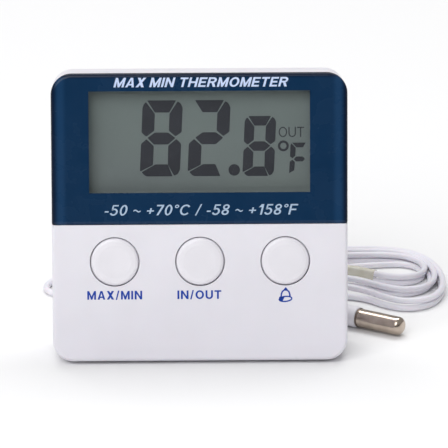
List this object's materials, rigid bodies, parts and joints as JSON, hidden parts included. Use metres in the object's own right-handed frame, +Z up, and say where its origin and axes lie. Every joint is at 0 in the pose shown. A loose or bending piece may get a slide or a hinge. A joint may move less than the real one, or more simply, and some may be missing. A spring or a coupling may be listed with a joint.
{
  "type": "maximum minimum thermometer",
  "caption": "Small digital maximum minimum thermometer leaning on a fold-out rear leg, with a dark display panel, round buttons and a metal probe on a coiled white cable.",
  "frame": {"origin": "on the floor, on the narrow flat sole of the rear shell, midway across the case and 5 mm behind the sole's front edge", "axes": "+Z up; -Y towards the viewer, the side with the display; +X to the right as the display is read"},
  "size_m": [0.1038, 0.0787, 0.068],
  "materials": {
    "white_plastic": "satin moulded",
    "blue_panel": "gloss",
    "clear_window": "clear",
    "lcd_glass": "clear",
    "lcd_film": "matte grey",
    "contact_rubber": "matte",
    "board": "solder resist",
    "black_epoxy": "gloss",
    "switch_plastic": "matte",
    "steel": "plated",
    "brass_disc": "satin",
    "ceramic": "silvered",
    "bead": "epoxy",
    "battery_sleeve": "gloss sleeve",
    "wire_red": "pvc",
    "cable_white": "soft pvc",
    "grey_rubber": "soft",
    "clear_tape": "clear",
    "probe_nickel": "polished nickel"
  },
  "bodies": {
    "case": {"front_shell": "white_plastic", "rear_shell": "white_plastic", "display_bezel": "blue_panel", "display_window": "clear_window", "lcd_frame": "switch_plastic", "elastomer_connector": "contact_rubber", "circuit_board": "board", "chip_blob": "black_epoxy", "smd_parts": "black_epoxy", "crystal": "steel", "indoor_thermistor": "bead", "tact_switches": "switch_plastic", "unit_switch_body": "steel", "sounder_disc": "brass_disc", "sounder_ceramic": "ceramic", "sounder_wires": "wire_red", "aaa_battery": "battery_sleeve", "positive_contact": "steel", "negative_plate": "steel", "negative_spring": "steel", "battery_wires": "wire_red", "stand_pin": "steel", "case_screws": "steel", "board_screws": "steel", "cable_gland": "grey_rubber", "cable_inside": "cable_white", "lcd_polarizer": "lcd_film", "lcd_front_glass": "lcd_glass", "lcd_rear_glass": "lcd_glass", "lcd_reflector": "lcd_film", "cable_lead": "cable_white", "cable_tail": "cable_white", "cable_hank": "cable_white", "hank_tape": "clear_tape", "probe_sleeve": "cable_white", "probe_tube": "probe_nickel", "probe_thermistor": "bead"},
    "button_max_min": {"button_max_min": "white_plastic", "plunger_max_min": "switch_plastic"},
    "button_in_out": {"button_in_out": "white_plastic", "plunger_in_out": "switch_plastic"},
    "button_alarm": {"button_alarm": "white_plastic", "plunger_alarm": "switch_plastic"},
    "unit_switch": {"unit_switch_knob": "switch_plastic"},
    "battery_door": {"battery_door": "white_plastic"},
    "leg": {"stand_leg": "white_plastic"}
  },
  "joints": [
    {"name": "press_max_min", "type": "slide", "parent": "case", "child": "button_max_min", "axis": [0, 0.9781, -0.2079], "range_m": [0, 0.0005], "stiffness_N_per_m": 1600, "springref_m": -0.0002},
    {"name": "press_in_out", "type": "slide", "parent": "case", "child": "button_in_out", "axis": [0, 0.9781, -0.2079], "range_m": [0, 0.0005], "stiffness_N_per_m": 1600, "springref_m": -0.0002},
    {"name": "press_alarm", "type": "slide", "parent": "case", "child": "button_alarm", "axis": [0, 0.9781, -0.2079], "range_m": [0, 0.0005], "stiffness_N_per_m": 1600, "springref_m": -0.0002},
    {"name": "unit_slide", "type": "slide", "parent": "case", "child": "unit_switch", "axis": [1, 0, 0], "range_m": [0, 0.0025]},
    {"name": "door_hinge", "type": "hinge", "parent": "case", "child": "battery_door", "pos_m": [0, 0.01855, 0.06124], "axis": [1, 0, 0], "range_deg": [0, 90]},
    {"name": "leg_hinge", "type": "hinge", "parent": "case", "child": "leg", "pos_m": [0, 0.01406, 0.044], "axis": [1, 0, 0], "range_deg": [-20, 0]}
  ]
}
